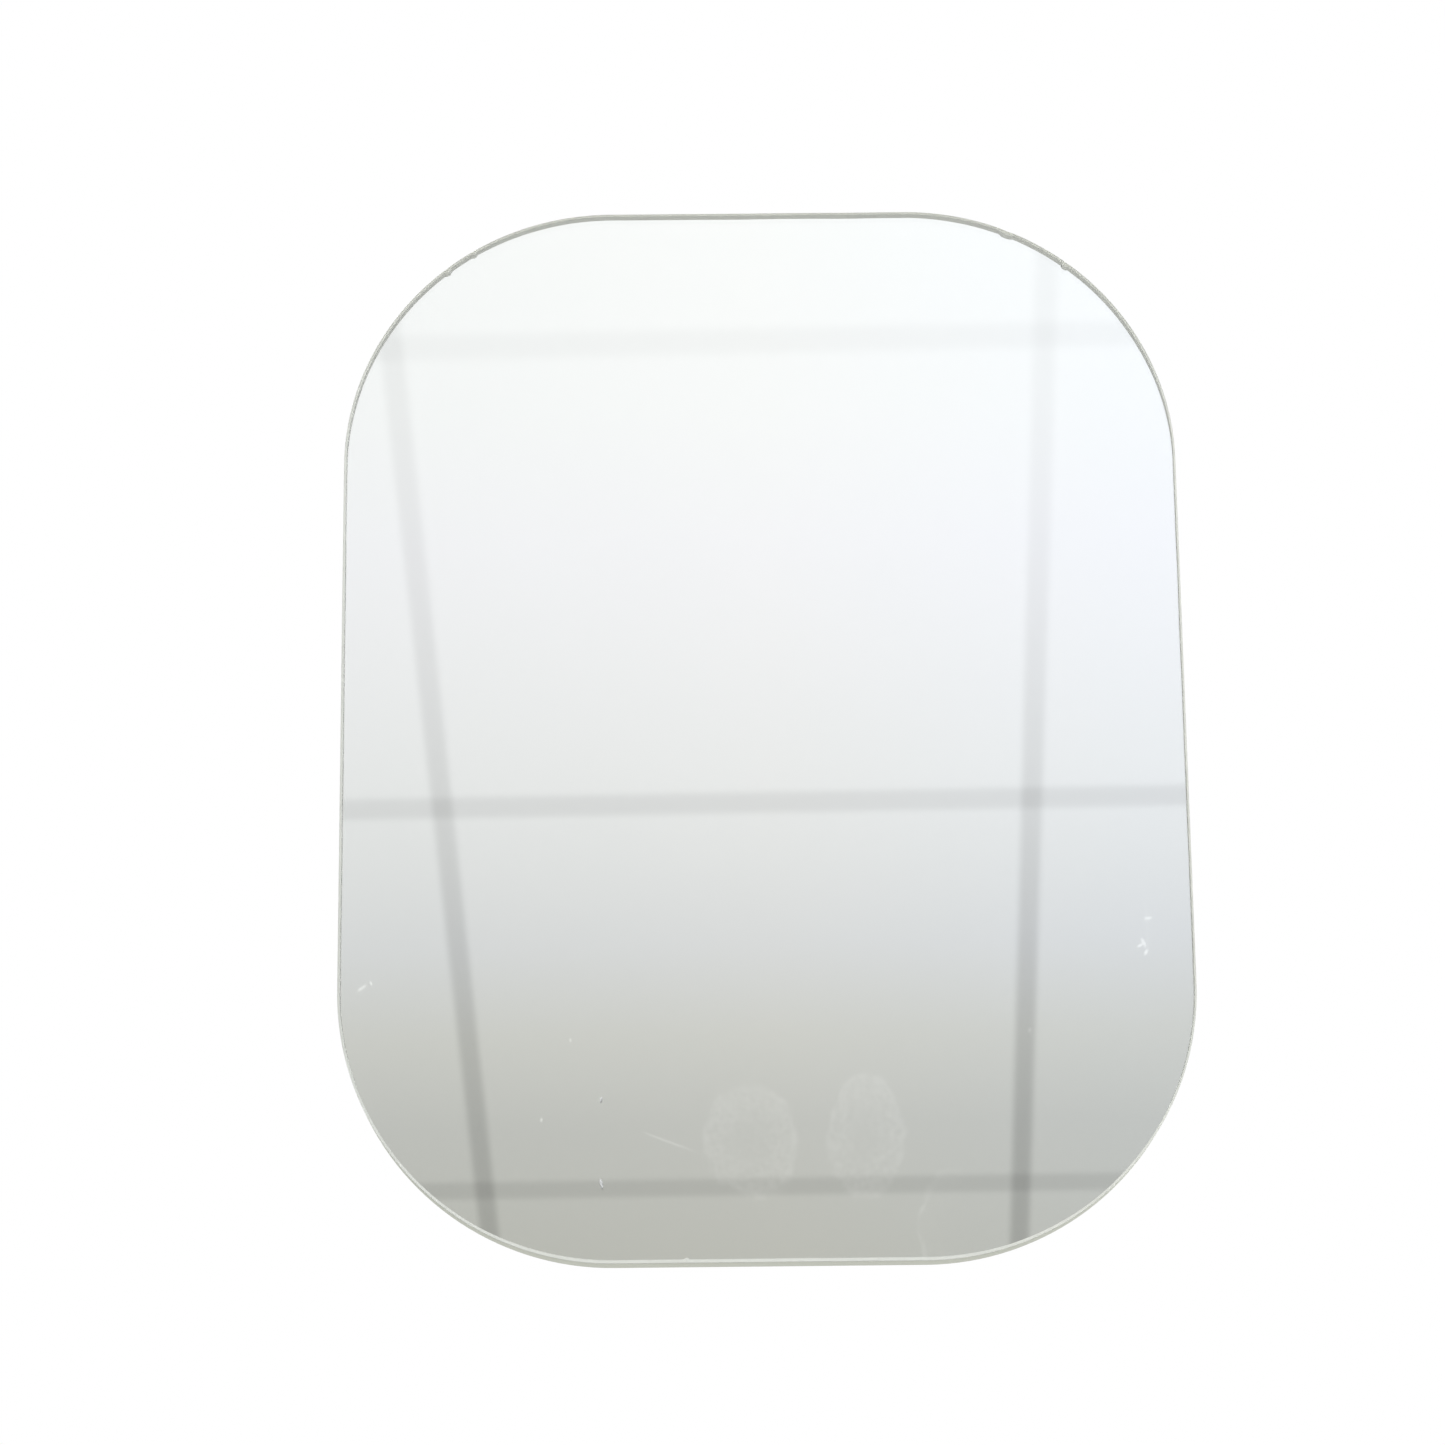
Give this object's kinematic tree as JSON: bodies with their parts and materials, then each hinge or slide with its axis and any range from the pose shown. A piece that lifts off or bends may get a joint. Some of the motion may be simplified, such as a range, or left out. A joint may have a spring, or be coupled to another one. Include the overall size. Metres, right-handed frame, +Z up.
{
  "type": "frameless traffic mirror",
  "caption": "Frameless flat traffic mirror with round corners on a moulded shell, on a wall arm that pans and tilts and is clamped by hand knobs.",
  "frame": {"origin": "middle of the wall plate's back face, on the wall plane", "axes": "+Z up, -Y the way the mirror looks at rest, +Y into the wall, +X to the right seen from the front"},
  "size_m": [0.2, 0.1728, 0.2566],
  "materials": {
    "silvered_glass": "polished silvered float glass, green tint at the ground edge",
    "silver_coat": "silver coat with grey protective paint",
    "black_foam": "closed-cell foam",
    "shell_plastic": "moulded, fine grain",
    "coated_steel": "powder coat, satin",
    "zinc_plate": "bright zinc plate",
    "stainless_steel": "stainless, turned",
    "nylon": "natural nylon",
    "knob_plastic": "moulded, satin"
  },
  "bodies": {
    "wall_mount": {"wall_plate": "coated_steel", "pan_bolt": "zinc_plate", "pan_flat_washer": "zinc_plate", "pan_spring_washer": "zinc_plate", "pan_friction_washer_a": "nylon", "pan_friction_washer_b": "nylon"},
    "pan_clamp": {"pan_knob": "knob_plastic", "pan_knob_nut": "zinc_plate"},
    "arm": {"swivel_arm": "coated_steel"},
    "head": {"mirror_glass": "silvered_glass", "silver_backing": "silver_coat", "tape_strip_left": "black_foam", "tape_strip_right": "black_foam", "edge_seal": "black_foam", "rear_shell": "shell_plastic", "reinforcing_plate": "zinc_plate", "bracket_nut_1": "zinc_plate", "bracket_nut_2": "zinc_plate", "bracket_nut_3": "zinc_plate", "bracket_nut_4": "zinc_plate", "tilt_bracket": "coated_steel", "bracket_screw_1": "stainless_steel", "bracket_screw_2": "stainless_steel", "bracket_screw_3": "stainless_steel", "bracket_screw_4": "stainless_steel", "bracket_washer_1": "zinc_plate", "bracket_washer_2": "zinc_plate", "bracket_washer_3": "zinc_plate", "bracket_washer_4": "zinc_plate", "tilt_friction_washer_a": "nylon", "tilt_friction_washer_b": "nylon", "tilt_bolt": "zinc_plate", "tilt_flat_washer": "zinc_plate", "tilt_spring_washer": "zinc_plate"},
    "tilt_clamp": {"tilt_knob": "knob_plastic", "tilt_knob_nut": "zinc_plate"}
  },
  "joints": [
    {"name": "pan", "type": "hinge", "parent": "wall_mount", "child": "arm", "pos_m": [0, -0.036, 0], "axis": [0, 0, 1], "range_deg": [-45, 45]},
    {"name": "tilt", "type": "hinge", "parent": "arm", "child": "head", "pos_m": [0, -0.126, 0], "axis": [1, 0, 0], "range_deg": [-30, 30]},
    {"name": "pan_knob_turn", "type": "hinge", "parent": "wall_mount", "child": "pan_clamp", "pos_m": [0, -0.036, 0.0282], "axis": [0, 0, 1], "range_deg": [0, 270]},
    {"name": "tilt_knob_turn", "type": "hinge", "parent": "head", "child": "tilt_clamp", "pos_m": [0.0282, -0.126, 0], "axis": [1, 0, 0], "range_deg": [0, 270]}
  ]
}
